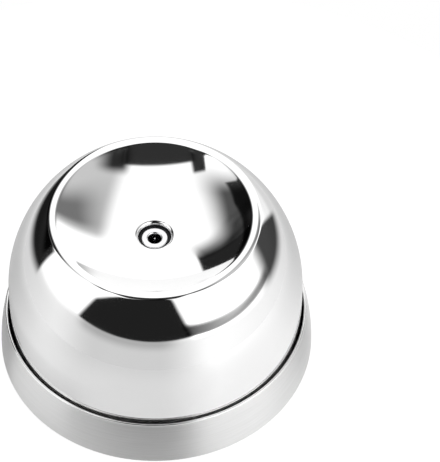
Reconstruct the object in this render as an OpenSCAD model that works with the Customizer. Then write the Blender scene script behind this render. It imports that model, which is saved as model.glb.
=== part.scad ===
// Egg piercer in stainless steel. A sprung dome with a dished top slides down over a fixed needle:
// an egg is set in the dish and pressed, and the needle comes up through the eyelet and pricks it.
// Millimetres, +Z up, with the origin on the table at the middle of the base. The dome is up, at rest.

/* [Dome] */
// Height of the dish rim above the table, with the dome up
overall_h = 40; // [38:0.1:44]
// How far the base stands out past the dome, all round
dome_step = 2.1; // [1.9:0.05:3]
// Sheet thickness of the dome
dome_wall = 0.7; // [0.5:0.05:0.8]
// Diameter of the dish rim at its crown
rim_d = 40.6; // [37:0.1:43]
// Outside radius of the fold between dome and dish
rim_fold_r = 1.65; // [0.9:0.05:2]
// Radius of the round dish that the egg sits in
dish_r = 35.5; // [30:0.5:40]
// Travel of the dome from rest to its stop
stroke = 4; // [3:0.1:5]

/* [Eyelet] */
// Diameter of the throat, the hole in the dish that the eyelet stands in
throat_d = 6.5; // [6.4:0.1:8]
// Radius of the edge where the dish turns down into the throat
throat_edge_r = 0.9; // [0.8:0.05:1.4]
// Height of the straight throat below that edge
throat_h = 1.25; // [0.5:0.05:1.5]
// Diameter of the eyelet's head
eyelet_d = 5.3; // [4.8:0.1:5.5]
// Height of the eyelet's head
eyelet_h = 1.1; // [1:0.05:1.5]
// Radius of the rounded edge of that head
eyelet_edge_r = 0.25; // [0.1:0.05:0.3]
// Radius of the rounded mouth of the bore
mouth_r = 0.4; // [0.2:0.05:0.4]
// Outside diameter of the eyelet's barrel
barrel_d = 4; // [3.6:0.1:4.4]
// Bore that the needle comes up through
eyelet_bore_d = 2.66; // [2:0.02:2.8]
// Radius of the curled lower end of the barrel
curl_r = 0.35; // [0.3:0.05:0.45]
// Diameter of the washer under the curl
washer_d = 7.4; // [6.4:0.1:8.4]
// Thickness of the washer
washer_t = 0.4; // [0.3:0.1:0.8]

/* [Base ring] */
// Diameter of the base at its widest
base_d = 64; // [60:0.1:70]
// Height of the ring's lip above the table
ring_top = 11.6; // [11:0.1:14]
// Sheet thickness of the ring
ring_wall = 0.6; // [0.5:0.05:0.8]
// Radius of the ring's rolled lip, a little more than half its sheet
lip_r = 0.33; // [0.32:0.01:0.6]
// Gap between the dome and the ring's lip
lip_gap = 0.35; // [0.3:0.05:0.8]
// Height of the ring's lower edge above the table
ring_lift = 0.6; // [0.4:0.1:1]
// Outside radius of the bend into the hem
hem_bend_r = 1; // [0.9:0.05:1.4]
// Flat width of the hem that is turned in under the base
hem_w = 1.6; // [1.2:0.1:2.2]

/* [Bottom cover and foot] */
// Thickness of the bottom cover
cover_t = 1.8; // [1.6:0.1:2.4]
// Distance of the foot ring from the cover's edge
foot_margin = 0.95; // [0.6:0.05:4]
// Width of the foot ring
foot_w = 3.8; // [3:0.1:4]
// Depth of the groove that holds the foot ring
foot_groove = 1; // [0.6:0.1:1.2]

/* [Chassis] */
// Thickness of the chassis floor
floor_t = 1.8; // [1.4:0.1:2.4]
// Height of the collar above the floor
collar_h = 2.2; // [1:0.1:4]
// Gap between the collar and the dome
collar_gap = 0.4; // [0.3:0.05:0.6]
// Diameter of the guide tower
tower_d = 9.6; // [8.6:0.1:10.4]
// Height of the spring seat above the floor
seat_h = 1.3; // [0.8:0.1:2]
// Height of the rim round the spring seat
seat_rim_h = 1.2; // [0.6:0.1:2]
// Thickness of the rim round the spring seat
seat_rim_t = 0.9; // [0.7:0.1:1.4]
// Outside diameter of the catch wall
catch_d = 44; // [41:0.5:46]
// Thickness of the catch wall
catch_t = 1.6; // [1.4:0.1:2]
// Height of the catch wall over its windows
bridge_h = 2.6; // [2:0.1:3.5]
// Height of the floor ribs that tie the screw bosses to the catch wall
floor_rib_h = 2.2; // [1:0.1:3]
// Thickness of a floor rib
floor_rib_t = 1.2; // [0.8:0.1:1.8]

/* [Liner] */
// Thickness of the skirt inside the dome
skirt_t = 1.2; // [1:0.1:1.8]
// Height of the skirt's lower edge above the dome's
skirt_lift = 0.5; // [0.3:0.1:1.5]
// Thickness of the disc
disc_t = 1.6; // [1.2:0.1:2.2]
// Room left between the disc and the catch wall at full press
disc_rise = 2.5; // [1:0.1:4]
// Thickness of the web under the eyelet
web_t = 1.6; // [1.2:0.1:2.2]
// Height of the nose on the web, which fills the throat round the eyelet's head
nose_h = 0.85; // [0.6:0.05:1]
// Wall thickness of the guide sleeve
sleeve_t = 1.4; // [1.2:0.1:1.8]
// Number of ribs between the disc and the sleeve
rib_count = 6; // [3:1:9]
// Thickness of a rib
rib_t = 1.2; // [0.8:0.1:1.8]
// Number of legs, hooks and windows
leg_count = 3; // [2:1:4]
// Width of a leg round the circle
leg_w = 10; // [7:0.5:13]
// Thickness of a leg
leg_t = 1.4; // [1.1:0.1:1.8]
// How far a hook reaches in
hook_reach = 1.3; // [1:0.1:1.6]
// Height of a hook
hook_h = 2; // [1.6:0.1:2.6]

/* [Needle] */
// Diameter of the needle
needle_d = 1.2; // [0.9:0.05:1.5]
// Length of the ground point
point_len = 3.5; // [2:0.1:5]
// Depth of the needle in its carrier
needle_grip = 8; // [5:0.5:12]
// Radius of the rounded tip
tip_r = 0.18; // [0.05:0.01:0.25]
// Depth of the point below the eyelet, at rest
point_depth = 0.1; // [0.1:0.1:1]
// Diameter of the needle carrier
carrier_d = 4; // [3:0.1:5]
// Chamfer at the carrier's top, where it stands out of the tower
carrier_chamfer = 0.4; // [0.2:0.1:0.8]
// Diameter of the carrier's head
head_d = 7; // [6:0.1:8]
// Height of the carrier's head
head_h = 1.2; // [0.8:0.1:1.6]

/* [Return spring] */
// Diameter of the spring wire
wire_d = 0.9; // [0.7:0.05:1]
// Turns of wire, with the two closed ends
turns = 6.5; // [5:0.5:7.5]
// Gap between the turns at the closed ends
closed_gap = 0.5; // [0.45:0.05:0.8]

/* [Cover screws] */
// Number of screws
screw_count = 3; // [2:1:4]
// Diameter of the circle that they stand on
screw_circle_d = 30; // [27:0.5:31]
// Diameter of the shank
screw_d = 2.2; // [2:0.1:2.6]
// Overall length, with the head
screw_len = 7; // [5:0.5:8]
// Diameter of the countersunk head
screw_head_d = 4.4; // [4:0.1:5]
// Height of the head's cone
screw_head_h = 1.1; // [0.9:0.1:1.3]
// Diameter of a screw boss
boss_d = 5.4; // [4.6:0.1:5.8]

/* [Fits] */
// Gap between pieces that are fixed to each other
fit_gap = 0.05; // [0.02:0.01:0.1]
// Gap between the guide sleeve and the tower
slide_gap = 0.15; // [0.08:0.01:0.25]
// Gap between the spring and the sleeve or rim beside it
spring_gap = 0.4; // [0.3:0.05:0.6]
// Gap at a stop: hooks under their windows, sleeve over the spring seat
stop_gap = 0.1; // [0.05:0.05:0.3]
// Gap between a leg and the catch wall
leg_gap = 0.3; // [0.3:0.05:0.5]
// Gap left over the floor, and over the needle carrier, at full press
floor_gap = 0.4; // [0.3:0.1:1]
// Chamfer that leads the sleeve onto the tower
lead_in = 0.5; // [0.2:0.1:0.8]

/* [Hidden] */
$fn = 128;

// Radii of the main pieces
base_r = base_d / 2;
dome_r = base_r - dome_step;
rim_r = rim_d / 2;
throat_r = throat_d / 2;
liner_r = dome_r - dome_wall - fit_gap;
hem_opening_r = base_r - hem_bend_r - hem_w;
cover_r = hem_opening_r - fit_gap;
foot_r = cover_r - foot_margin - foot_w / 2;
sleeve_in_r = tower_d / 2 + slide_gap;
sleeve_r = sleeve_in_r + sleeve_t;
coil_r = sleeve_r + spring_gap + wire_d / 2;
seat_r = coil_r + wire_d / 2 + spring_gap + seat_rim_t;
leg_in_r = catch_d / 2 + leg_gap;
barrel_hole_r = barrel_d / 2 + fit_gap;

// Centres of the dome's arcs in its half profile. The dome is a ball above its straight wall, and the fold
// at the rim touches both the ball and the dish.
fold_c = [rim_r, overall_h - rim_fold_r];
ball_z = fold_c[1] - sqrt(pow(dome_r - rim_fold_r, 2) - pow(rim_r, 2));
dish_z = fold_c[1] + sqrt(pow(dish_r + rim_fold_r, 2) - pow(rim_r, 2));
edge_c_r = throat_r + throat_edge_r;
edge_c = [edge_c_r, dish_z - sqrt(pow(dish_r + throat_edge_r, 2) - pow(edge_c_r, 2))];

// Levels up through the base
hem_top = ring_lift + ring_wall;
cover_top = ring_lift + cover_t;
floor_top = cover_top + floor_t;
seat_z = floor_top + seat_h;
window_top = floor_top + floor_gap + stroke + hook_h + stop_gap;
catch_top = window_top + bridge_h;

// Levels up through the dome, at rest
dome_low = floor_top + floor_gap + stroke;
hook_top = window_top - stop_gap;
hook_low = hook_top - hook_h;
sleeve_low = seat_z + stop_gap + stroke;
disc_low = catch_top + stroke + disc_rise;
disc_top = disc_low + disc_t;
web_top = edge_c[1] - throat_h;
web_low = web_top - web_t;
eyelet_top = web_top + eyelet_h;
eyelet_low = web_low - washer_t - 2 * curl_r;
point_z = eyelet_top - point_depth;

// Screws and their bosses
screw_tip = ring_lift + screw_len;
boss_top = screw_tip + boss_d / 4;
catch_in_r = catch_d / 2 - catch_t;

// The needle carrier and its tower stop short of the eyelet at full press
carrier_top = eyelet_low - stroke - floor_gap;
tower_top = carrier_top - carrier_chamfer;

// The base ring's wall is one arc, upright at the widest point, up to the rolled lip
wide_z = ring_lift + hem_bend_r;
lip_c = [dome_r + lip_gap + lip_r, ring_top - lip_r];
lip_rise = lip_c[1] - wide_z;
lip_in = base_r - ring_wall / 2 - lip_c[0];
flare_r = (pow(lip_rise, 2) + pow(lip_in, 2)) / (2 * lip_in);
flare_c = [base_r - ring_wall / 2 - flare_r, wide_z];

// The spring stands on its seat and reaches the liner's disc
spring_len = disc_low - seat_z - stop_gap;
closed_pitch = wire_d + closed_gap;
open_pitch = (spring_len - wire_d - 2 * closed_pitch) / (turns - 2);
coil_steps = 24;
wire_sides = 8;

// Overshoot of cutting shapes past the faces that they cut, and overlap of shapes that join into one piece
cut = 1;
embed = 0.2;
// Smallest radius left on the inside of a bend
least_r = 0.02;

function unit(v) = v / norm(v);
function arc_degrees(width, radius) = width / radius * 180 / PI;

// Half profiles are drawn with X as the radius and Y as the height.
module level_band(low, high, r_in, r_out) {
    translate([r_in, low]) square([r_out - r_in, high - low]);
}

// Clears the corner between two directions at a bend's centre, where the bend's own circle goes instead.
module bend_corner(centre, u, v, reach) {
    polygon([centre, centre + reach * u, centre + reach * (u + v), centre + reach * v]);
}

// All that lies under the dome's outer face, or under that face moved in by inset. Two make the sheet.
module dome_area(inset, low) {
    inward = [-1, 0];
    dish_c = [0, dish_z];
    fold_reach = 2 * rim_fold_r;
    edge_reach = 2 * throat_edge_r;
    intersection() {
        level_band(low, overall_h, 0, dome_r);
        union() {
            difference() {
                union() {
                    translate([0, ball_z]) circle(dome_r - inset);
                    level_band(low, ball_z, 0, dome_r - inset);
                }
                translate(dish_c) circle(dish_r + inset);
                level_band(web_top, overall_h, 0, throat_r + inset);
                bend_corner(fold_c, unit(fold_c - [0, ball_z]), unit(dish_c - fold_c), fold_reach);
                bend_corner(edge_c, unit(dish_c - edge_c), inward, edge_reach);
            }
            translate(fold_c) circle(max(rim_fold_r - inset, least_r));
            translate(edge_c) circle(max(throat_edge_r - inset, least_r));
        }
    }
}

// Drawn steel dome: straight wall, ball shoulder, folded rim, dish and a throat that stands on the liner.
module dome_shell() {
    color("gainsboro") rotate_extrude() difference() {
        dome_area(0, dome_low);
        dome_area(dome_wall, dome_low - cut);
    }
}

// Eyelet: a rounded head in the liner's nose, a barrel through its web, and a curl that grips the washer.
module eyelet() {
    bore_r = eyelet_bore_d / 2;
    head_r = eyelet_d / 2;
    rim_c = [head_r - eyelet_edge_r, eyelet_top - eyelet_edge_r];
    mouth_c = [bore_r + mouth_r, eyelet_top - mouth_r];
    curl_c = [barrel_d / 2 + curl_r / 2, eyelet_low + curl_r];
    color("whitesmoke") rotate_extrude() union() {
        level_band(web_top, eyelet_top, mouth_c[0], rim_c[0]);
        level_band(web_top, rim_c[1], mouth_c[0], head_r);
        level_band(web_top, mouth_c[1], bore_r, rim_c[0]);
        translate(rim_c) circle(eyelet_edge_r);
        translate(mouth_c) circle(mouth_r);
        level_band(eyelet_low + curl_r, web_top + embed, bore_r, barrel_d / 2);
        translate(curl_c) circle(curl_r);
    }
}

// Washer between the liner's web and the eyelet's curl.
module eyelet_washer() {
    color("lightgray") rotate_extrude()
        level_band(web_low - washer_t, web_low, barrel_hole_r, washer_d / 2);
}

// One leg: it hangs from the disc and ends in a hook with a ramp below.
module liner_leg() {
    hook_in_r = leg_in_r - hook_reach;
    leg_out_r = leg_in_r + leg_t;
    leg_arc = arc_degrees(leg_w, leg_in_r);
    rotate([0, 0, -leg_arc / 2]) rotate_extrude(angle = leg_arc)
        polygon([[leg_in_r, disc_low + embed], [leg_in_r, hook_top], [hook_in_r, hook_top],
                 [hook_in_r, hook_top - hook_h / 3], [leg_in_r, hook_low], [leg_out_r, hook_low],
                 [leg_out_r, disc_low + embed]]);
}

// One rib: a gusset between the disc and the sleeve.
module liner_rib() {
    rib_in_r = sleeve_r - sleeve_t / 2;
    rib_out_r = liner_r - 2 * skirt_t;
    rotate([90, 0, 0]) linear_extrude(rib_t, center = true)
        polygon([[rib_in_r, disc_top - embed], [rib_out_r, disc_top - embed], [rib_out_r, disc_top],
                 [rib_in_r, web_low]]);
}

// Moulded liner: the sleeve slides on the tower, the disc takes the spring, the skirt backs the dome, and
// the nose centres the dome's throat and the eyelet.
module dome_liner() {
    color("dimgray") union() {
        rotate_extrude() difference() {
            union() {
                intersection() {
                    dome_area(dome_wall + fit_gap, dome_low);
                    union() {
                        level_band(disc_low, disc_top, sleeve_in_r, liner_r);
                        level_band(dome_low + skirt_lift, disc_top, liner_r - skirt_t, liner_r);
                    }
                }
                level_band(sleeve_low, web_top, 0, sleeve_r);
                level_band(web_low, web_top + nose_h, 0, throat_r - fit_gap);
            }
            level_band(sleeve_low - cut, web_low, 0, sleeve_in_r);
            level_band(web_low - cut, web_top + cut, 0, barrel_hole_r);
            level_band(web_top, web_top + nose_h + cut, 0, eyelet_d / 2 + fit_gap);
            polygon([[0, sleeve_low], [sleeve_in_r + lead_in, sleeve_low],
                     [sleeve_in_r, sleeve_low + lead_in], [0, sleeve_low + lead_in]]);
        }
        for (i = [0 : leg_count - 1]) rotate([0, 0, 90 + i * 360 / leg_count]) liner_leg();
        for (i = [0 : rib_count - 1]) rotate([0, 0, 30 + i * 360 / rib_count]) liner_rib();
    }
}

// All that lies inside the base ring's outer face, or inside that face moved in by inset.
module ring_area(inset) {
    bend_r = max(hem_bend_r - inset, least_r);
    bend_c = [base_r - hem_bend_r, wide_z];
    intersection() {
        level_band(ring_lift + inset, ring_top, 0, base_r);
        union() {
            intersection() {
                translate(flare_c) circle(flare_r + ring_wall / 2 - inset);
                level_band(wide_z, ring_top, 0, base_r);
            }
            intersection() {
                translate(bend_c) circle(bend_r);
                level_band(ring_lift, wide_z, bend_c[0], base_r);
            }
            level_band(ring_lift, wide_z, 0, bend_c[0]);
        }
    }
}

// Spun base ring: a hem turned in at the foot, a wall that leans in on one arc, and a rolled lip.
module base_ring() {
    color("silver") rotate_extrude() union() {
        difference() {
            ring_area(0);
            ring_area(ring_wall);
            level_band(0, ring_top, 0, hem_opening_r);
            level_band(lip_c[1], ring_top + cut, 0, base_r);
        }
        translate(lip_c) circle(lip_r);
    }
}

// Where the screws stand, on a circle between the legs.
module at_screws() {
    for (i = [0 : screw_count - 1])
        rotate([0, 0, 30 + i * 360 / screw_count]) translate([screw_circle_d / 2, 0, 0]) children();
}

// Half profile of the chassis: floor, collar, catch wall, spring seat and guide tower.
module chassis_profile() {
    difference() {
        intersection() {
            ring_area(ring_wall + fit_gap);
            level_band(hem_top + fit_gap, floor_top + collar_h, 0, base_r);
        }
        level_band(0, cover_top, 0, hem_opening_r);
        level_band(floor_top, ring_top, 0, dome_r + collar_gap);
    }
    level_band(cover_top, catch_top, catch_in_r, catch_d / 2);
    level_band(cover_top, seat_z, 0, seat_r);
    level_band(cover_top, seat_z + seat_rim_h, seat_r - seat_rim_t, seat_r);
    level_band(cover_top, tower_top - lead_in, 0, tower_d / 2);
    polygon([[0, tower_top - lead_in], [tower_d / 2, tower_top - lead_in],
             [tower_d / 2 - lead_in, tower_top], [0, tower_top]]);
}

// One blind boss for a screw, with the floor rib that ties it to the spring seat and the catch wall.
module screw_boss() {
    rib_in = seat_r - embed - screw_circle_d / 2;
    rib_out = catch_in_r + embed - screw_circle_d / 2;
    foot_z = floor_top - embed;
    translate([0, 0, foot_z]) cylinder(d = boss_d, h = boss_top - foot_z);
    translate([rib_in, -floor_rib_t / 2, foot_z])
        cube([rib_out - rib_in, floor_rib_t, floor_rib_h + embed]);
}

// Moulded chassis, held in the ring by its hem. The needle carrier comes up its tower from below.
module base_chassis() {
    window_w = leg_w + 2 * leg_t;
    window_low = floor_top + floor_gap / 2;
    window_in = catch_in_r - 2 * cut;
    window_out = catch_d / 2 + cut;
    below = cover_top - cut;
    head_hole_top = cover_top + head_h + fit_gap;
    screw_hole_d = screw_d + 2 * fit_gap;
    color("#2b2b2d") difference() {
        union() {
            rotate_extrude() chassis_profile();
            at_screws() screw_boss();
        }
        for (i = [0 : leg_count - 1])
            rotate([0, 0, 90 + i * 360 / leg_count]) translate([window_in, -window_w / 2, window_low])
                cube([window_out - window_in, window_w, window_top - window_low]);
        translate([0, 0, below]) cylinder(d = carrier_d + 2 * fit_gap, h = tower_top + cut - below);
        translate([0, 0, below]) cylinder(d = head_d + 2 * fit_gap, h = head_hole_top - below);
        at_screws() translate([0, 0, below]) cylinder(d = screw_hole_d, h = screw_tip + fit_gap - below);
    }
}

// Bottom cover: a disc in the hem's opening, with a groove for the foot ring and countersunk screw holes.
module bottom_cover() {
    groove_half = foot_w / 2 + fit_gap;
    hole_r = screw_d / 2 + 2 * fit_gap;
    sink_r = screw_head_d / 2 + fit_gap;
    color("#2b2b2d") difference() {
        rotate_extrude() difference() {
            level_band(ring_lift, cover_top, 0, cover_r);
            level_band(0, ring_lift + foot_groove, foot_r - groove_half, foot_r + groove_half);
        }
        at_screws() translate([0, 0, ring_lift - cut]) cylinder(r = hole_r, h = cover_t + 2 * cut);
        at_screws() translate([0, 0, ring_lift]) cylinder(r1 = sink_r, r2 = hole_r, h = screw_head_h);
    }
}

// Non-slip foot ring, pressed into the cover's groove.
module foot_ring() {
    edge = ring_lift / 2;
    foot_in = foot_r - foot_w / 2;
    foot_out = foot_r + foot_w / 2;
    foot_top = ring_lift + foot_groove;
    color("#1c1c1c") rotate_extrude()
        polygon([[foot_in + edge, 0], [foot_out - edge, 0], [foot_out, edge], [foot_out, foot_top],
                 [foot_in, foot_top], [foot_in, edge]]);
}

// Countersunk screws that hold the cover to the chassis.
module cover_screws() {
    color("darkgray") at_screws() translate([0, 0, ring_lift]) union() {
        cylinder(d1 = screw_head_d, d2 = screw_d, h = screw_head_h);
        cylinder(d = screw_d, h = screw_len);
    }
}

// Needle with a ground point and a rounded tip, pressed into its carrier.
module needle() {
    needle_r = needle_d / 2;
    slope = atan2(needle_r - tip_r, point_len - tip_r);
    tip = [for (i = [0 : 4]) let (a = slope + (90 - slope) * i / 4)
              [tip_r * cos(a), point_z - tip_r * (1 - sin(a))]];
    color("whitesmoke") rotate_extrude()
        polygon(concat([[0, carrier_top - needle_grip], [needle_r, carrier_top - needle_grip],
                        [needle_r, point_z - point_len]], tip));
}

// Turned carrier: its head is trapped between chassis and cover, and its stem fills the tower's bore.
module needle_carrier() {
    head_r = head_d / 2;
    head_top = cover_top + head_h;
    stem_r = carrier_d / 2;
    color("darkkhaki") difference() {
        rotate_extrude()
            polygon([[0, cover_top], [head_r, cover_top], [head_r, head_top], [stem_r, head_top],
                     [stem_r, tower_top], [stem_r - carrier_chamfer, carrier_top], [0, carrier_top]]);
        translate([0, 0, carrier_top - needle_grip]) cylinder(d = needle_d, h = needle_grip + cut);
    }
}

// Height of the wire's centre after n turns: one close turn at each end and open turns between.
function wire_z(n) =
    let (first = min(n, 1), open = max(0, min(n, turns - 1) - 1), last = max(0, n - turns + 1))
    seat_z + wire_d / 2 + (first + last) * closed_pitch + open * open_pitch;
function wire_point(n) = [coil_r * cos(360 * n), coil_r * sin(360 * n), wire_z(n)];

// Compression spring: one round wire swept along the coil.
module return_spring() {
    rings = floor(turns * coil_steps) + 1;
    centres = [for (k = [0 : rings - 1]) wire_point(k / coil_steps)];
    points = [
        for (k = [0 : rings - 1])
            let (ahead = centres[min(k + 1, rings - 1)], behind = centres[max(k - 1, 0)],
                 out = [cos(360 * k / coil_steps), sin(360 * k / coil_steps), 0],
                 across = unit(cross(unit(ahead - behind), out)))
            for (s = [0 : wire_sides - 1])
                let (a = 360 * s / wire_sides) centres[k] + wire_d / 2 * (cos(a) * out + sin(a) * across)
    ];
    walls = [
        for (k = [0 : rings - 2], s = [0 : wire_sides - 1])
            let (a = k * wire_sides + s, b = k * wire_sides + (s + 1) % wire_sides)
            for (face = [[a, a + wire_sides, b], [b, a + wire_sides, b + wire_sides]]) face
    ];
    start_cap = [for (s = [1 : wire_sides - 2]) [0, s, s + 1]];
    last = (rings - 1) * wire_sides;
    end_cap = [for (s = [1 : wire_sides - 2]) [last, last + s + 1, last + s]];
    turn_steps = [for (k = [0 : rings - 1 - coil_steps]) norm(centres[k + coil_steps] - centres[k])];
    echo(str("return_spring least gap between turns: ", min(turn_steps) - wire_d, " mm"));
    color("lightslategray") polyhedron(points, concat(walls, start_cap, end_cap));
}

dome_shell();
eyelet();
eyelet_washer();
dome_liner();
base_ring();
base_chassis();
bottom_cover();
foot_ring();
cover_screws();
needle();
needle_carrier();
return_spring();
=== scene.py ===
# %% [markdown]
# A press-down egg piercer in steel. A polished dome with a dished top stands in a brushed base ring, on a spring.
# An egg is set in the dish and pressed, and a fixed needle comes up through an eyelet and pricks its round end.
# The imported CAD model has every piece at its true size and place, so this lesson only dresses it: it draws the
# pieces that show again with finer curves, and gives every piece a finish. The frame comes first, and the pieces drawn
# again take their sizes from the boxes of its pieces, so that the dressed model stays inside it.

# %% Load the frame
import math

import bmesh
import bpy
from mathutils import Matrix, Vector


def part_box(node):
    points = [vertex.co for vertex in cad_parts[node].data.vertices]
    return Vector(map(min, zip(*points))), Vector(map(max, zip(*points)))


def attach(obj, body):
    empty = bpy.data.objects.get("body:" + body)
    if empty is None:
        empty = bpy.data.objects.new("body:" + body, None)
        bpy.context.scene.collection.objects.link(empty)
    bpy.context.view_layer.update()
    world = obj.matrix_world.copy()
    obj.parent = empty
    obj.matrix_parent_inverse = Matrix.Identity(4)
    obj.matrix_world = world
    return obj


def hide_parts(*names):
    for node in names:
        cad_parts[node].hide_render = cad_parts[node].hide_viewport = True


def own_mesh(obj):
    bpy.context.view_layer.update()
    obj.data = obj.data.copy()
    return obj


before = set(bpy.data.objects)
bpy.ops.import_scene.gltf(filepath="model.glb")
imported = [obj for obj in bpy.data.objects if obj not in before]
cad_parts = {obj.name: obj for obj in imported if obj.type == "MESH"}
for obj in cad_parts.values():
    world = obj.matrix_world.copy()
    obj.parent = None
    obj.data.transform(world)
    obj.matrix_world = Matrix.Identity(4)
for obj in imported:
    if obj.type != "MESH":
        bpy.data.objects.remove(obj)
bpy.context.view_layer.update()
MM = 0.001

# %% [markdown]
# The photograph was taken with a long lens from about 51 degrees above the table, with the tool left of the
# middle of the picture and below it. A camera could be shifted to get that framing, but a shift stays on in every
# other view. Here the level camera is aimed a little right of the tool and above it instead, as a photographer
# would do. That also gives the slight lean of the tool's axis that the photograph has.

# %% Place the camera
VIEW_UP = math.radians(50.7)
DISTANCE, FOCAL_MM = 0.8, 306.8
MIDDLE_H, AIM_RIGHT, AIM_UP = 20 * MM, 13.3 * MM, 9.55 * MM
middle = Vector((0, 0, MIDDLE_H))
away = Vector((0, -math.cos(VIEW_UP), math.sin(VIEW_UP)))
right = Vector((1, 0, 0))
up = away.cross(right)
aim = middle + AIM_RIGHT * right + AIM_UP * up
eye = middle + DISTANCE * away

lens = bpy.data.cameras.new("long_lens")
lens.lens = FOCAL_MM
lens.clip_start, lens.clip_end = 0.05, 20
camera = bpy.data.objects.new("camera", lens)
camera.location = eye
camera.rotation_mode = "QUATERNION"
camera.rotation_quaternion = (aim - eye).to_track_quat("-Z", "Y")
bpy.context.scene.collection.objects.link(camera)
bpy.context.scene.camera = camera
bpy.context.scene.view_settings.view_transform = "Standard"
print("camera at", [round(c, 3) for c in eye], "lens", lens.lens, "mm")

# %% [markdown]
# A mirror has hardly any look of its own: what is seen on the dome is the room round it. So the room matters as
# much as the steel. It could be built from lamps and cards, but those would stand in the way when the camera goes
# round. Here the world itself is the room: a white tent, with darker panels at the directions where the
# photograph's reflections are dark, and a brighter one at the right. A small group makes one soft-edged window, and
# each panel uses it once.
# Four helpers come first. They add a node and fill its sockets, add a Math node, begin a group and use one.

# %% Helpers for nodes
def put(tree, kind, inputs=None, **settings):
    """Adds a node. An input given as a socket is linked, and any other value is set on it."""
    made = tree.nodes.new(kind)
    for name, value in settings.items():
        setattr(made, name, value)
    for key, value in (inputs or {}).items():
        if isinstance(value, bpy.types.NodeSocket):
            tree.links.new(value, made.inputs[key])
        else:
            made.inputs[key].default_value = value
    return made


def maths(tree, operation, first, second=0.0):
    return put(tree, "ShaderNodeMath", {0: first, 1: second}, operation=operation).outputs[0]


def new_group(name, inputs, outputs):
    """A shader node group with float inputs and outputs, and its two end nodes."""
    tree = bpy.data.node_groups.new(name, "ShaderNodeTree")
    for label, value in inputs.items():
        tree.interface.new_socket(label, in_out="INPUT", socket_type="NodeSocketFloat").default_value = value
    for label in outputs:
        tree.interface.new_socket(label, in_out="OUTPUT", socket_type="NodeSocketFloat")
    return tree, tree.nodes.new("NodeGroupInput").outputs, tree.nodes.new("NodeGroupOutput").inputs


def use_group(tree, group, **values):
    return put(tree, "ShaderNodeGroup", values, node_tree=group).outputs


# %% The soft window
def soft_step(tree, value, at, soft):
    low, high = maths(tree, "SUBTRACT", at, soft), maths(tree, "ADD", at, soft)
    return put(tree, "ShaderNodeMapRange", {"Value": value, "From Min": low, "From Max": high},
               interpolation_type="SMOOTHSTEP").outputs[0]


SIDES = (("Left", "Across", "Up"), ("Right", "Across", "Up"),
         ("Low", "Up", "Across"), ("High", "Up", "Across"))
COLUMNS = [kind + side for kind in ("", "Soft ", "Slant ") for side, way, along in SIDES]
window, given, out = new_group("soft_window", {name: 0 for name in ["Across", "Up"] + COLUMNS}, ["Mask"])
inside = 1.0
for side, way, along in SIDES:
    at = maths(window, "ADD", given[side], maths(window, "MULTIPLY", given["Slant " + side], given[along]))
    past = soft_step(window, given[way], at, given["Soft " + side])
    if side in ("Right", "High"):
        past = maths(window, "SUBTRACT", 1.0, past)
    inside = maths(window, "MULTIPLY", past, inside)
window.links.new(inside, out["Mask"])
print("group", window.name, len(window.nodes), "nodes")


def shade(tree, level, across, up, panels):
    """Takes a light level down inside each panel's window, or up where the panel's dark is below zero."""
    for dark, *places in panels.values():
        values = dict(zip(COLUMNS, sum(places, ())))
        mask = use_group(tree, window, Across=across, Up=up, **values)["Mask"]
        kept = maths(tree, "SUBTRACT", 1.0, maths(tree, "MULTIPLY", mask, dark))
        level = maths(tree, "MULTIPLY", level, kept)
    return level


# %% [markdown]
# The directions are measured in degrees: across from the camera's side, with plus to the right, and up from the
# horizon. A panel has four sides, left, right, low and high. Each has a softness, and may slant by so many
# degrees across for each degree up, or the other way about. The panels overhead have straight edges in the
# photograph, so they are measured on a flat ceiling instead, in parts of the ceiling's height. The table goes on
# to the horizon, and it is greyer in front and at the back. The tent meets it along an edge that is level in
# front and falls away to both sides. The camera itself sees plain white there.
# A panel's row says how dark it is, where its sides are, how soft they are and, if they do, how they slant.

# %% Panels of the room
TENT, TABLE = 1.34, 1.04
EDGE_LOW, EDGE_HIGH = 1.5, 5.5
FRONT_LEFT, FRONT_HALF, FALL = 18.0, 42.0, 0.16
CEILING_END = 0.05
WALL_PANELS = {
    "table, front": (0.305, (-61, 17, -80, 4.5), (20, 17, 5, 0.8)),
    "table, front, far off": (0.38, (-58, 12, -1, 4.5), (6, 10, 5, 0.8)),
    "table, right": (-0.144, (28, 75, -90, 0), (10, 35, 1, 3)),
    "table, back left": (0.25, (-400, -95, -90, -4), (1, 35, 1, 6)),
    "table, back right": (0.25, (115, 400, -90, -4), (35, 1, 1, 6)),
    "bright, right": (-0.9, (27, 82, 2, 34), (6, 18, 3, 8)),
    "behind the camera": (0.988, (-61.5, 27.6, 4.3, 59.5), (2, 2.4, 0.8, 1.8), (0.33, -0.32, 0, 0.66)),
    "grey, right of the camera": (0.75, (24.5, 99, 8.1, 18.2), (2.5, 4, 0.8, 2.5), (-0.31, 0, -0.131, -0.184)),
    "darker end of it": (0.76, (24.5, 44, 8.1, 18.2), (2.5, 22, 0.8, 2.5), (-0.31, 0, -0.131, -0.184)),
    "back left, low": (0.985, (-167, -105, 27.4, -5.5), (0.6, 1.5, 4, 5.5), (0.187, 0.024, 0.334, -0.18)),
    "back left, high": (0.93, (-158, -110.5, 0, 104), (1.2, 1, 3, 1.2), (0.937, 0.1, 0, 0.547)),
    "far back, hazy": (0.75, (-162, -134, 17.5, 26.7), (3, 6.3, 2.7, 6.8), (0, 0, 0, -0.022)),
    "back right, low": (0.95, (94.5, 125, 18.8, 15.6), (10.6, 1.5, 4, 2.8), (0.62, -0.78, -0.273, -0.014)),
}
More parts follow.
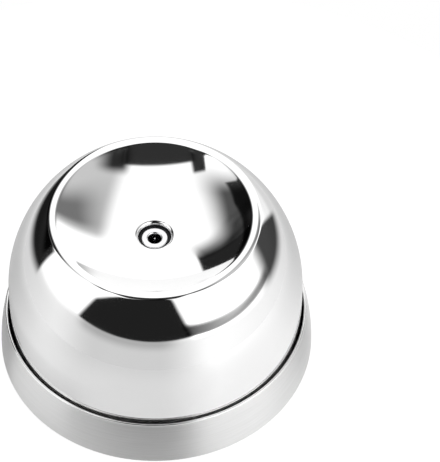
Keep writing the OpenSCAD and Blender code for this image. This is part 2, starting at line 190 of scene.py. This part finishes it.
CEILING_PANELS = {
    "over the camera": (0.975, (-0.49, 0.36, 0.184, 0.9), (0.057, 0.06, 0.02, 0.2), (0, 0, -0.004, 0)),
    "its left end": (0.975, (-0.62, -0.455, 0.067, 0.357), (0.012, 0.028, 0.03, 0.053),
                     (-0.1, 0.048, 0.066, 0.017)),
    "its right end, hazy": (0.96, (0.29, 0.63, 0.12, 0.43), (0.067, 0.172, 0.076, 0.017),
                            (0, 0.014, -0.071, -0.103)),
    "card, back right": (0.501, (0.363, 2.06, -0.875, 0.364), (0.127, 0.247, 0.189, 0.102),
                         (-0.266, -0.089, -0.538, -0.02)),
    "its darker half": (0.696, (0.677, 2.06, -0.662, 0.169), (0.374, 0.249, 0.197, 0.255),
                        (-0.086, -0.025, -0.51, -0.592)),
    "back left, hazy": (0.93, (-1.6, -0.55, -1.53, 0.255), (0.2, 0.246, 0.512, 0.254),
                        (0.302, 0.294, 0.04, 0.502)),
    "lower part of it": (0.794, (-1.7, -0.824, -3.18, -1.47), (0.303, 0.2, 0.507, 0.289),
                         (0.191, 0.235, -0.172, -0.2)),
}

# %% The room
room = bpy.data.worlds.new("white_tent")
room.use_nodes = True
tree = room.node_tree
tree.nodes.clear()
towards = put(tree, "ShaderNodeTexCoord").outputs["Generated"]
x, y, z = put(tree, "ShaderNodeSeparateXYZ", {0: towards}).outputs
to_camera = maths(tree, "MULTIPLY", y, -1.0)
across = maths(tree, "DEGREES", maths(tree, "ARCTAN2", x, to_camera))
height = maths(tree, "DEGREES", maths(tree, "ARCSINE", z))
aside = maths(tree, "SUBTRACT", maths(tree, "ABSOLUTE", maths(tree, "ADD", across, FRONT_LEFT)), FRONT_HALF)
drop = maths(tree, "MULTIPLY", maths(tree, "MAXIMUM", aside, 0.0), FALL)
over_edge = maths(tree, "ADD", height, drop)
level = put(tree, "ShaderNodeMapRange", {"Value": over_edge, "From Min": EDGE_LOW, "From Max": EDGE_HIGH,
                                         "To Min": TABLE, "To Max": TENT}).outputs[0]
ceiling = maths(tree, "MAXIMUM", z, CEILING_END)
level = shade(tree, level, across, height, WALL_PANELS)
ceiling_across, ceiling_out = (maths(tree, "DIVIDE", way, ceiling) for way in (x, to_camera))
level = shade(tree, level, ceiling_across, ceiling_out, CEILING_PANELS)
path = put(tree, "ShaderNodeLightPath").outputs
seen = maths(tree, "MAXIMUM", path["Is Camera Ray"], path["Is Transmission Ray"])
shown = put(tree, "ShaderNodeMix", {"Factor": seen, "A": level, "B": 1.0}).outputs[0]
back = put(tree, "ShaderNodeBackground", {"Color": (1, 1, 1, 1), "Strength": shown})
put(tree, "ShaderNodeOutputWorld", {"Surface": back.outputs[0]})
bpy.context.scene.world = room
print("room with", len(WALL_PANELS), "panels round it and", len(CEILING_PANELS), "overhead")

# %% [markdown]
# The tool stands on a pale table. Only the near part of it is real, a disc that takes the tool's soft shadow and
# shows in the steel. The photograph's table is burnt out to white, so what the camera sees, and what the steel
# shows of it, has a share of plain white, which leaves the shadow as a light one. Panels make that white greyer
# where the room's table is, so that the disc's edge doesn't show: across in degrees again, and out from the axis
# in millimetres. One more panel darkens it close to the ring's left side, as a painted shadow beside the tool. Seen
# from below the disc lets the camera through.

# %% Size and panels of the table
TABLE_R = 100 * MM
PAPER = (0.86, 0.86, 0.86, 1)
STEEL_WHITE, CAMERA_WHITE = 1.41, 1.22
STEEL_SHARE, CAMERA_SHARE = 0.5, 0.75
TABLE_PANELS = {
    "front": (0.313, (-61, 17, -1, 200), (20, 17, 0.5, 1)),
    "front, further out": (0.218, (-61, 17, 70, 200), (20, 17, 30, 1)),
    "right": (-0.21, (28, 75, 75, 200), (10, 35, 25, 1)),
    "back left": (0.65, (-400, -83, -1, 105), (1, 35, 0.5, 45)),
    "back right": (0.65, (100, 400, -1, 105), (35, 1, 0.5, 45)),
    # Painted shadow: the table's glow is darker right next to the ring's left side.
    "painted shadow, near left of the ring": (0.35, (-140, -38, -1, 39), (20, 8, 0.5, 7)),
}

# %% The table
floor_shape = bmesh.new()
bmesh.ops.create_circle(floor_shape, cap_ends=True, segments=96, radius=TABLE_R)
floor_mesh = bpy.data.meshes.new("pale_table")
floor_shape.to_mesh(floor_mesh)
floor_shape.free()
floor = bpy.data.objects.new("pale_table", floor_mesh)
bpy.context.scene.collection.objects.link(floor)

pale = bpy.data.materials.new("pale_table")
pale.use_nodes = True
tree = pale.node_tree
tree.nodes.clear()
paper = put(tree, "ShaderNodeBsdfDiffuse", {"Color": PAPER}).outputs[0]
place = put(tree, "ShaderNodeTexCoord").outputs["Object"]
x, y, z = put(tree, "ShaderNodeSeparateXYZ", {0: place}).outputs
across = maths(tree, "DEGREES", maths(tree, "ARCTAN2", x, maths(tree, "MULTIPLY", y, -1.0)))
out_from_axis = put(tree, "ShaderNodeVectorMath", {0: place}, operation="LENGTH").outputs["Value"]
glow = shade(tree, STEEL_WHITE, across, maths(tree, "DIVIDE", out_from_axis, MM), TABLE_PANELS)
path = put(tree, "ShaderNodeLightPath").outputs
seen = maths(tree, "MAXIMUM", path["Is Camera Ray"], path["Is Transmission Ray"])
white = put(tree, "ShaderNodeMix", {"Factor": seen, "A": glow, "B": CAMERA_WHITE}).outputs[0]
camera_part = maths(tree, "MULTIPLY", seen, CAMERA_SHARE)
steel_part = maths(tree, "MULTIPLY", path["Is Glossy Ray"], STEEL_SHARE)
share = maths(tree, "MAXIMUM", camera_part, steel_part)
burnt = put(tree, "ShaderNodeEmission", {"Color": (1, 1, 1, 1), "Strength": white}).outputs[0]
top = put(tree, "ShaderNodeMixShader", {0: share, 1: paper, 2: burnt}).outputs[0]
below = put(tree, "ShaderNodeNewGeometry").outputs["Backfacing"]
clear = put(tree, "ShaderNodeBsdfTransparent").outputs[0]
both = put(tree, "ShaderNodeMixShader", {0: below, 1: top, 2: clear}).outputs[0]
put(tree, "ShaderNodeOutputMaterial", {"Surface": both})
floor_mesh.materials.append(pale)
print("table of", round(2 * TABLE_R / MM), "mm")

# %% [markdown]
# Most pieces here are turned, spun or polished on a machine that goes round, so their fine marks run round the
# axis. A noise texture could be wrapped by a UV map, but that has a seam. Instead the group below reads Object
# coordinates: the direction from the axis changes slowly, and height and radius change fast, so the noise is drawn
# out into lines that close on themselves.

# %% Marks that run round the axis
ring_marks, given, out = new_group("marks_round_axis", {"Per Metre": 3000, "Run": 4, "Detail": 3}, ["Lines"])
place = put(ring_marks, "ShaderNodeTexCoord").outputs["Object"]
x, y, z = put(ring_marks, "ShaderNodeSeparateXYZ", {0: place}).outputs
radius = maths(ring_marks, "SQRT", maths(ring_marks, "ADD", maths(ring_marks, "MULTIPLY", x, x),
                                         maths(ring_marks, "MULTIPLY", y, y)))
safe = maths(ring_marks, "MAXIMUM", radius, 1e-5)
spoke_x = maths(ring_marks, "MULTIPLY", maths(ring_marks, "DIVIDE", x, safe), given["Run"])
spoke_y = maths(ring_marks, "MULTIPLY", maths(ring_marks, "DIVIDE", y, safe), given["Run"])
over = maths(ring_marks, "MULTIPLY", maths(ring_marks, "ADD", z, radius), given["Per Metre"])
wrapped = put(ring_marks, "ShaderNodeCombineXYZ", {0: spoke_x, 1: spoke_y, 2: over}).outputs[0]
noise = put(ring_marks, "ShaderNodeTexNoise", {"Vector": wrapped, "Scale": 1.0, "Detail": given["Detail"],
                                               "Roughness": 0.65}).outputs[0]
lines = put(ring_marks, "ShaderNodeMapRange", {"Value": noise, "From Min": 0.25, "From Max": 0.75}).outputs[0]
ring_marks.links.new(lines, out["Lines"])
print("group", ring_marks.name, len(ring_marks.nodes), "nodes")

# %% [markdown]
# Handled metal is never quite even: there is a faint haze where it was wiped. Moulded plastic has a fine grain
# from its tool. Both are plain noise at their own scale, so one small group gives a soft cloud and a fine grain.

# %% Haze and grain
cloud, given, out = new_group("haze_and_grain", {"Haze Size": 15, "Grain Per Metre": 3000}, ["Haze", "Grain"])
place = put(cloud, "ShaderNodeTexCoord").outputs["Object"]
haze_scale = maths(cloud, "DIVIDE", 1 / MM, given["Haze Size"])
haze = put(cloud, "ShaderNodeTexNoise", {"Vector": place, "Scale": haze_scale, "Detail": 4.0,
                                         "Roughness": 0.55, "Distortion": 0.6}).outputs[0]
grain = put(cloud, "ShaderNodeTexNoise", {"Vector": place, "Scale": given["Grain Per Metre"], "Detail": 2.0,
                                          "Roughness": 0.6}).outputs[0]
for noise, label in ((haze, "Haze"), (grain, "Grain")):
    spread = put(cloud, "ShaderNodeMapRange", {"Value": noise, "From Min": 0.3, "From Max": 0.7}).outputs[0]
    cloud.links.new(spread, out[label])
print("group", cloud.name, len(cloud.nodes), "nodes")

# %% [markdown]
# Every finish starts from one Principled shader. Four helpers make it, spread a noise between two values, mix two
# colours by it and turn it into a bump, so that each finish below reads as a short recipe.

# %% Helpers for finishes
def new_finish(name, **constants):
    """A material with one Principled shader. What is the same all over is set on the shader's own sockets."""
    finish = bpy.data.materials.new(name)
    finish.use_nodes = True
    tree = finish.node_tree
    tree.nodes.clear()
    sockets = {key.replace("_", " "): value for key, value in constants.items()}
    shader = put(tree, "ShaderNodeBsdfPrincipled", sockets)
    put(tree, "ShaderNodeOutputMaterial", {"Surface": shader.outputs[0]})
    return finish, tree, shader.inputs


def between(tree, amount, low, high):
    return put(tree, "ShaderNodeMapRange", {"Value": amount, "To Min": low, "To Max": high}).outputs[0]


def tint(tree, amount, first, second):
    mixed = put(tree, "ShaderNodeMix", data_type="RGBA")
    tree.links.new(amount, mixed.inputs[0])
    mixed.inputs[6].default_value = (*first, 1)
    mixed.inputs[7].default_value = (*second, 1)
    return mixed.outputs[2]


def relief(tree, height, depth, strength):
    return put(tree, "ShaderNodeBump", {"Height": height, "Distance": depth, "Strength": strength}).outputs[0]


# %% [markdown]
# The dome is stainless steel, polished on a wheel to a mirror. A mirror finish could be a plain metal with a low
# roughness, but then it looks like glass. Real polish keeps a trace of the wheel's lines and a haze from wiping,
# and both belong in the roughness, so that they show only where a bright panel's edge crosses them.

# %% Polished steel
polished, tree, steel = new_finish("polished_steel", Metallic=1.0)
marks = use_group(tree, ring_marks, **{"Per Metre": 7000, "Run": 6, "Detail": 3})["Lines"]
haze = use_group(tree, cloud, **{"Haze Size": 14})["Haze"]
tree.links.new(tint(tree, haze, (0.855, 0.855, 0.855), (0.83, 0.83, 0.83)), steel["Base Color"])
worn = maths(tree, "ADD", between(tree, haze, 0.03, 0.055), between(tree, marks, 0.0, 0.02))
tree.links.new(worn, steel["Roughness"])
tree.links.new(relief(tree, marks, 0.002 * MM, 0.05), steel["Normal"])
print("finish", polished.name)

# %% [markdown]
# The base ring is brushed round and round. The lines are too fine to see one by one, but they spread the light
# across them, so the ring shows soft upright bands. An anisotropic shader does that, with its tangent running round
# the axis and turned a quarter, because the light spreads square to the lines. The lines that can just be seen are
# the marks group again, in the colour, the roughness and a shallow bump. The lip is rolled over after the brushing,
# and the roller leaves it smooth, so the roughness falls off at the lip's height.

# %% Brushed steel
LIP_FROM, LIP_FULL, LIP_SMOOTH = 11.15 * MM, 11.4 * MM, 0.75
brushed, tree, steel = new_finish("brushed_steel", Metallic=1.0, Anisotropic=1.0, Anisotropic_Rotation=0.25)
marks = use_group(tree, ring_marks, **{"Per Metre": 4200, "Run": 3, "Detail": 4})["Lines"]
haze = use_group(tree, cloud, **{"Haze Size": 20})["Haze"]
tree.links.new(tint(tree, marks, (0.74, 0.74, 0.735), (0.81, 0.81, 0.81)), steel["Base Color"])
place = put(tree, "ShaderNodeTexCoord").outputs["Object"]
level = put(tree, "ShaderNodeSeparateXYZ", {0: place}).outputs["Z"]
rolled = put(tree, "ShaderNodeMapRange", {"Value": level, "From Min": LIP_FROM,
                                          "From Max": LIP_FULL}).outputs[0]
worn = maths(tree, "ADD", between(tree, marks, 0.41, 0.37), between(tree, haze, 0, 0.02))
smooth = maths(tree, "SUBTRACT", 1.0, maths(tree, "MULTIPLY", rolled, LIP_SMOOTH))
tree.links.new(maths(tree, "MULTIPLY", worn, smooth), steel["Roughness"])
tree.links.new(relief(tree, marks, 0.01 * MM, 0.1), steel["Normal"])
round_axis = put(tree, "ShaderNodeTangent", direction_type="RADIAL", axis="Z").outputs[0]
tree.links.new(round_axis, steel["Tangent"])
print("finish", brushed.name)

# %% [markdown]
# The small metal pieces are cheaper: a bright rolled eyelet, washer and ground needle, zinc-plated screws, drawn
# spring wire and a turned brass carrier. They differ in colour and in how sharp their gloss is, so one function
# makes them all from the two groups, each with its own values.

# %% Small metal finishes
def small_metal(name, light, dark, smooth, rough, per_metre, depth):
    finish, tree, metal = new_finish(name, Metallic=1.0)
    marks = use_group(tree, ring_marks, **{"Per Metre": per_metre, "Run": 5, "Detail": 3})["Lines"]
    haze = use_group(tree, cloud, **{"Haze Size": 3})["Haze"]
    tree.links.new(tint(tree, haze, light, dark), metal["Base Color"])
    blend = maths(tree, "ADD", maths(tree, "MULTIPLY", marks, 0.5), maths(tree, "MULTIPLY", haze, 0.5))
    tree.links.new(between(tree, blend, smooth, rough), metal["Roughness"])
    tree.links.new(relief(tree, marks, depth, 0.2), metal["Normal"])
    return finish


bright = small_metal("bright_steel", (0.80, 0.80, 0.81), (0.74, 0.74, 0.75), 0.10, 0.18, 9000, 0.002 * MM)
zinc = small_metal("screw_steel", (0.60, 0.60, 0.62), (0.47, 0.47, 0.48), 0.28, 0.42, 6000, 0.004 * MM)
wire = small_metal("spring_steel", (0.55, 0.56, 0.58), (0.44, 0.45, 0.47), 0.20, 0.34, 8000, 0.003 * MM)
brass = small_metal("turned_brass", (0.76, 0.61, 0.32), (0.66, 0.52, 0.26), 0.20, 0.32, 5000, 0.006 * MM)
print("finishes", [m.name for m in (bright, zinc, wire, brass)])

# %% [markdown]
# The inner pieces and the bottom cover are moulded in black plastic, and the foot is rubber. Black plastic isn't
# black all over: the grain catches light, and the colour drifts a little. The black here is set darker than real
# plastic, as painted shade: it shows round the eyelet and in the gap between the dome and the ring, where shade falls.
# The rubber is duller and holds dust.

# %% Plastic and rubber
GRAIN_SPREAD = 0.06


def moulded(name, dark, light, rough, grain_per_metre, depth):
    finish, tree, plastic = new_finish(name, Metallic=0.0, Specular_IOR_Level=0.15)
    grains = use_group(tree, cloud, **{"Haze Size": 9, "Grain Per Metre": grain_per_metre})
    tree.links.new(tint(tree, grains["Haze"], dark, light), plastic["Base Color"])
    worn = between(tree, grains["Grain"], rough - GRAIN_SPREAD, rough + GRAIN_SPREAD)
    tree.links.new(worn, plastic["Roughness"])
    tree.links.new(relief(tree, grains["Grain"], depth, 0.4), plastic["Normal"])
    return finish


# Painted shade: this black is darker than moulded plastic, so that the liner round the eyelet and the chassis rim in
# the gap below the dome show as shade.
black_and_gap_shade = moulded("black_plastic", (0.010, 0.010, 0.011), (0.020, 0.020, 0.022), 0.48, 4500, 0.02 * MM)
rubber = moulded("foot_rubber", (0.040, 0.040, 0.040), (0.070, 0.069, 0.066), 0.78, 2500, 0.03 * MM)
print("finishes", [m.name for m in (black_and_gap_shade, rubber)])

# %% [markdown]
# Nearly every piece is round about the axis, so it is drawn as a lathe hand would: half a section, swept round.
# The section could be a list of points from a formula. Here a pen draws it with Blender's own operators: a vertex
# is extruded for a straight and spun about a centre for an arc. An inner face has the same centres as the outer
# one, so the pen comes back by the same arcs the other way, and the sheet has one thickness all along.

# %% The profile pen
class Pen:
    """Draws a section in the plane of X and Z, where X is the radius."""

    def __init__(self, radius, height):
        self.shape = bmesh.new()
        self.start = self.tip = self.shape.verts.new((radius, 0, height))

    def line(self, radius, height):
        drawn = bmesh.ops.extrude_vert_indiv(self.shape, verts=[self.tip])
        self.tip = drawn["verts"][0]
        self.tip.co = (radius, 0, height)

    def arc(self, centre, degrees, steps):
        drawn = bmesh.ops.spin(self.shape, geom=[self.tip], cent=(centre[0], 0, centre[1]), axis=(0, -1, 0),
                               angle=math.radians(degrees), steps=steps, use_duplicate=False)
        self.tip = [part for part in drawn["geom_last"] if isinstance(part, bmesh.types.BMVert)][0]

    def close(self):
        bmesh.ops.contextual_create(self.shape, geom=[self.tip, self.start])

    def sweep(self, steps):
        section = self.shape.verts[:] + self.shape.edges[:]
        bmesh.ops.spin(self.shape, geom=section, cent=(0, 0, 0), axis=(0, 0, 1), angle=math.tau, steps=steps,
                       use_merge=True, use_duplicate=False)
        bmesh.ops.remove_doubles(self.shape, verts=self.shape.verts[:], dist=1e-7)
        bmesh.ops.recalc_face_normals(self.shape, faces=self.shape.faces[:])
        return self.shape


# %% [markdown]
# Every piece that is drawn again ends in the same way. The print sets its size beside the CAD's.

# %% Make a piece of a shape
def make_piece(name, shape, finish, body, node, sharp=35):
    """Shades the shape smooth up to its sharp edges, and puts it in the place of a CAD node."""
    for face in shape.faces:
        face.smooth = True
    for edge in shape.edges:
        edge.smooth = len(edge.link_faces) == 2 and edge.calc_face_angle() < math.radians(sharp)
    mesh = bpy.data.meshes.new(name)
    shape.to_mesh(mesh)
    shape.free()
    mesh.materials.append(finish)
    piece = bpy.data.objects.new(name, mesh)
    bpy.context.scene.collection.objects.link(piece)
    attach(piece, body)
    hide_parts(node)
    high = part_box(node)[1]
    top, reach = max(v.co.z for v in mesh.vertices), max(v.co.x for v in mesh.vertices)
    print(name, len(mesh.polygons), "faces, top", round(top / MM, 3), "CAD", round(high.z / MM, 3),
          "reach", round(reach / MM, 3), "CAD", round(high.x / MM, 3))
    return piece


# %% [markdown]
# The dome is one disc of sheet steel, drawn to a ball with a straight wall, folded over at the rim and pressed down
# into the dish, with a throat turned down in the middle for the eyelet. The fold touches the ball and the dish, so
# their centres follow from the sizes, and every arc runs smoothly into the next. That matters on a mirror, where the
# smallest kink shows as a break in the reflections.

# %% Sizes of the dome
dome_low, dome_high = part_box("dome_shell")
dome_r, rim_top = dome_high.x, dome_high.z
RIM_R, FOLD_R, DISH_R, SHEET = 20.3 * MM, 1.65 * MM, 35.5 * MM, 0.7 * MM
THROAT_R, EDGE_R, EYELET_HEAD = 3.25 * MM, 0.9 * MM, 1.1 * MM
eyelet_low, eyelet_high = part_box("eyelet")
throat_low = eyelet_high.z - EYELET_HEAD

fold = (RIM_R, rim_top - FOLD_R)
ball = (0, fold[1] - math.sqrt((dome_r - FOLD_R) ** 2 - RIM_R ** 2))
dish = (0, fold[1] + math.sqrt((DISH_R + FOLD_R) ** 2 - RIM_R ** 2))
edge = (THROAT_R + EDGE_R, dish[1] - math.sqrt((DISH_R + EDGE_R) ** 2 - (THROAT_R + EDGE_R) ** 2))
ball_turn = math.degrees(math.atan2(fold[1] - ball[1], RIM_R))
rim_slope = math.degrees(math.atan2(dish[1] - fold[1], RIM_R))
edge_turn = math.degrees(math.atan2(dish[1] - edge[1], edge[0]))
fold_turn = 180 - rim_slope - ball_turn
dish_turn = edge_turn - rim_slope
print("ball", round(ball_turn, 1), "fold", round(fold_turn, 1), "dish", round(dish_turn, 1), "degrees")

# %% Draw the dome
pen = Pen(dome_r, dome_low.z)
pen.line(dome_r, ball[1])
pen.arc(ball, ball_turn, 36)
pen.arc(fold, fold_turn, 20)
pen.arc(dish, -dish_turn, 36)
pen.arc(edge, edge_turn, 14)
pen.line(THROAT_R, throat_low)
pen.line(THROAT_R + SHEET, throat_low)
pen.line(THROAT_R + SHEET, edge[1])
pen.arc(edge, -edge_turn, 6)
pen.arc(dish, dish_turn, 18)
pen.arc(fold, -fold_turn, 10)
pen.arc(ball, -ball_turn, 18)
pen.line(dome_r - SHEET, dome_low.z)
pen.close()
make_piece("drawn_dome", pen.sweep(192), polished, "dome", "dome_shell")

# %% [markdown]
# The eyelet lines the hole that the needle comes up through. Its bright head stands in the black nose of the liner,
# which shows as a dark ring round it; the plastic is made darker than real black plastic, as painted shade in that
# gap. The head has a round edge and a round mouth, and the lower end is curled out under a washer. The pen draws it
# in one go.

# %% The eyelet
BORE_R, MOUTH_R, BARREL_R, CURL_R, HEAD_EDGE = 1.33 * MM, 0.4 * MM, 2.0 * MM, 0.35 * MM, 0.25 * MM
head_r, head_top = eyelet_high.x, eyelet_high.z
mouth = (BORE_R + MOUTH_R, head_top - MOUTH_R)
curl = (BARREL_R + CURL_R / 2, eyelet_low.z + CURL_R)
curl_end = math.degrees(math.acos((BARREL_R - curl[0]) / CURL_R))
pen = Pen(head_r, throat_low)
pen.line(head_r, head_top - HEAD_EDGE)
pen.arc((head_r - HEAD_EDGE, head_top - HEAD_EDGE), 90, 6)
pen.line(mouth[0], head_top)
pen.arc(mouth, 90, 8)
pen.line(BORE_R, curl[1])
pen.line(BARREL_R - CURL_R / 2, curl[1])
pen.arc(curl, 180 + curl_end, 20)
pen.line(BARREL_R, throat_low)
pen.close()
make_piece("rolled_eyelet", pen.sweep(96), bright, "dome", "eyelet")

# %% [markdown]
# The needle is a ground steel pin. Only its tip shows, as a small glint in the eyelet's dark hole. The point could be
# a plain cone, but it would show nothing there: the glint comes from the round that grinding leaves at the tip. The
# cone runs into that round without a step.

# %% The needle
needle_low, needle_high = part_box("needle")
NEEDLE_R, POINT, TIP_R, CHAMFER = 0.6 * MM, 3.5 * MM, 0.18 * MM, 0.1 * MM
tip_z = needle_high.z - TIP_R
slope = math.atan2(NEEDLE_R - TIP_R, POINT - TIP_R)
pen = Pen(0, needle_low.z)
pen.line(NEEDLE_R - CHAMFER, needle_low.z)
pen.line(NEEDLE_R, needle_low.z + CHAMFER)
pen.line(NEEDLE_R, needle_high.z - POINT)
pen.line(TIP_R * math.cos(slope), tip_z + TIP_R * math.sin(slope))
pen.arc((0, tip_z), 90 - math.degrees(slope), 8)
make_piece("ground_needle", pen.sweep(32), bright, "base", "needle", sharp=50)

# %% [markdown]
# The base ring is spun from thinner sheet. A hem is turned in under the base, the wall leans in on one long arc, and
# the lip beside the dome is rounded over. It is drawn as the dome is, out along the outer face and back along the
# inner one.

# %% The base ring
ring_low, ring_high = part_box("base_ring")
base_r = ring_high.x
WALL, LIP_GAP, BEND_R, HEM = 0.6 * MM, 0.35 * MM, 1.0 * MM, 1.6 * MM
LIP_R = WALL / 2
wide_z = ring_low.z + BEND_R
bend = (base_r - BEND_R, wide_z)
lip = (dome_r + LIP_GAP + LIP_R, ring_high.z - LIP_R)
lean_in = base_r - WALL / 2 - lip[0]
flare_r = ((lip[1] - wide_z) ** 2 + lean_in ** 2) / (2 * lean_in)
flare = (base_r - WALL / 2 - flare_r, wide_z)
flare_turn = math.degrees(math.atan2(lip[1] - wide_z, lip[0] - flare[0]))
opening = base_r - BEND_R - HEM
pen = Pen(opening, ring_low.z)
pen.line(bend[0], ring_low.z)
pen.arc(bend, 90, 10)
pen.arc(flare, flare_turn, 24)
pen.arc(lip, 180, 14)
pen.arc(flare, -flare_turn, 12)
pen.arc(bend, -90, 6)
pen.line(opening, ring_low.z + WALL)
pen.close()
make_piece("spun_base_ring", pen.sweep(192), brushed, "base", "base_ring")

# %% [markdown]
# The return spring is one wire. Its two end turns lie close together, so that it stands square, and the turns between
# are open. A screw modifier could wind it, but the spin operator does it at once: it turns a circle about the axis and
# lifts it at every step. Three spins give the close, open and close turns. The real spring shortens as the dome goes
# down; here it is drawn at one length, the CAD's.

# %% The return spring
spring_low, spring_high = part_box("return_spring")
WIRE_R, TURNS, CLOSE_PITCH, WIND = 0.45 * MM, 6.5, 1.4 * MM, 36
coil_r = spring_high.x - WIRE_R
open_turns = TURNS - 2
open_pitch = (spring_high.z - spring_low.z - 2 * WIRE_R - 2 * CLOSE_PITCH) / open_turns
coil = bmesh.new()
bmesh.ops.create_circle(coil, cap_ends=True, segments=14, radius=WIRE_R)
upright = Matrix.Rotation(math.pi / 2, 3, "X")
bmesh.ops.rotate(coil, verts=coil.verts[:], cent=(0, 0, 0), matrix=upright)
bmesh.ops.translate(coil, verts=coil.verts[:], vec=(coil_r, 0, spring_low.z + WIRE_R))
end = coil.faces[:] + coil.edges[:] + coil.verts[:]
for turns, pitch in ((1, CLOSE_PITCH), (open_turns, open_pitch), (1, CLOSE_PITCH)):
    steps = round(turns * WIND)
    wound = bmesh.ops.spin(coil, geom=end, cent=(0, 0, 0), axis=(0, 0, 1), angle=turns * math.tau,
                           dvec=(0, 0, turns * pitch / steps), steps=steps, use_duplicate=False)
    end = wound["geom_last"]
bmesh.ops.recalc_face_normals(coil, faces=coil.faces[:])
spring = make_piece("coil_spring", coil, wire, "base", "return_spring", sharp=60)
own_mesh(spring)

# %% [markdown]
# Three countersunk screws hold the cover from below. Their cross recess is too fine for the solids. It could be cut
# with a boolean, but on a flat disc eight bisecting planes and one extrusion give cleaner faces: the planes mark out
# the arms, and the arms are pushed in and drawn together.

# %% One screw
screws_low, screws_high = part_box("cover_screws")
HEAD_R, SHANK_R, HEAD_H, CIRCLE_R = 2.2 * MM, 1.1 * MM, 1.1 * MM, 15 * MM
ARM_W, ARM_L, RECESS, RECESS_TAPER = 0.38 * MM, 1.25 * MM, 0.75 * MM, 0.7
END_H, END_TAPER = 0.8 * MM, 0.3
shank_h = screws_high.z - screws_low.z - HEAD_H - END_H
screws = bmesh.new()
bmesh.ops.create_circle(screws, cap_ends=True, segments=48, radius=HEAD_R)
for way in ((1, 0, 0), (0, 1, 0)):
    for at in (-ARM_L, -ARM_W, ARM_W, ARM_L):
        every = screws.verts[:] + screws.edges[:] + screws.faces[:]
        bmesh.ops.bisect_plane(screws, geom=every, plane_co=[at * w for w in way], plane_no=way)
arms = [f for f in screws.faces if min(abs(c) for c in f.calc_center_median()[:2]) < ARM_W
        and max(abs(c) for c in f.calc_center_median()[:2]) < ARM_L]
rim = [e for e in screws.edges if len(e.link_faces) == 1]
sunk = bmesh.ops.extrude_face_region(screws, geom=arms)["geom"]
bmesh.ops.delete(screws, geom=arms, context="FACES_KEEP_BOUNDARY")
sunk_verts = [part for part in sunk if isinstance(part, bmesh.types.BMVert)]
bmesh.ops.scale(screws, verts=sunk_verts, vec=(RECESS_TAPER, RECESS_TAPER, 1))
bmesh.ops.translate(screws, verts=sunk_verts, vec=(0, 0, RECESS))
for wide, lift in ((SHANK_R / HEAD_R, HEAD_H), (1, shank_h), (END_TAPER, END_H)):
    grown = bmesh.ops.extrude_edge_only(screws, edges=rim)["geom"]
    rim = [part for part in grown if isinstance(part, bmesh.types.BMEdge)]
    rim_verts = [part for part in grown if isinstance(part, bmesh.types.BMVert)]
    bmesh.ops.scale(screws, verts=rim_verts, vec=(wide, wide, 1))
    bmesh.ops.translate(screws, verts=rim_verts, vec=(0, 0, lift))
bmesh.ops.edgeloop_fill(screws, edges=[e for e in screws.edges if len(e.link_faces) == 1])
bmesh.ops.recalc_face_normals(screws, faces=screws.faces[:])

# %% Three of them
FIRST_TURN, NEXT_TURNS = 30, (120, 240)
bmesh.ops.translate(screws, verts=screws.verts[:], vec=(CIRCLE_R, 0, screws_low.z))
bmesh.ops.rotate(screws, verts=screws.verts[:], cent=(0, 0, 0),
                 matrix=Matrix.Rotation(math.radians(FIRST_TURN), 3, "Z"))
one = screws.verts[:] + screws.edges[:] + screws.faces[:]
for turn in NEXT_TURNS:
    copy = bmesh.ops.duplicate(screws, geom=one)["geom"]
    copy_verts = [part for part in copy if isinstance(part, bmesh.types.BMVert)]
    bmesh.ops.rotate(screws, verts=copy_verts, cent=(0, 0, 0),
                     matrix=Matrix.Rotation(math.radians(turn), 3, "Z"))
make_piece("cross_head_screws", screws, zinc, "base", "cover_screws")

# %% [markdown]
# The foot is a moulded rubber ring in the cover's groove. Two shallow rounds in its sole keep it from sliding. It is
# a turned shape again, so the pen draws it.

# %% The foot ring
foot_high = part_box("foot_ring")[1]
FOOT_W, FOOT_EDGE, TREAD_R = 3.8 * MM, 0.3 * MM, 0.35 * MM
foot_out = foot_high.x
foot_in = foot_out - FOOT_W
pen = Pen(foot_in, foot_high.z)
pen.line(foot_in, FOOT_EDGE)
pen.arc((foot_in + FOOT_EDGE, FOOT_EDGE), 90, 6)
for share in (1 / 3, 2 / 3):
    tread = foot_in + FOOT_W * share
    pen.line(tread - TREAD_R, 0)
    pen.arc((tread, 0), -180, 8)
pen.line(foot_out - FOOT_EDGE, 0)
pen.arc((foot_out - FOOT_EDGE, FOOT_EDGE), 90, 6)
pen.line(foot_out, foot_high.z)
pen.close()
make_piece("moulded_foot", pen.sweep(128), rubber, "base", "foot_ring", sharp=50)

# %% [markdown]
# The other pieces are right as the CAD has them: the liner, the chassis, the bottom cover, the needle carrier and
# the washer. They keep their solids and only get a finish.

# %% Finishes for the CAD pieces
# The liner and the chassis show only in the gaps round the eyelet and below the dome, and their very dark black there
# is painted shade. On the bottom cover the same black stands for its own colour.
for node, finish in (("dome_liner", black_and_gap_shade), ("base_chassis", black_and_gap_shade), ("bottom_cover", black_and_gap_shade),
                     ("needle_carrier", brass), ("eyelet_washer", bright)):
    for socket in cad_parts[node].material_slots:
        socket.material = finish
    print(node, "in", finish.name)
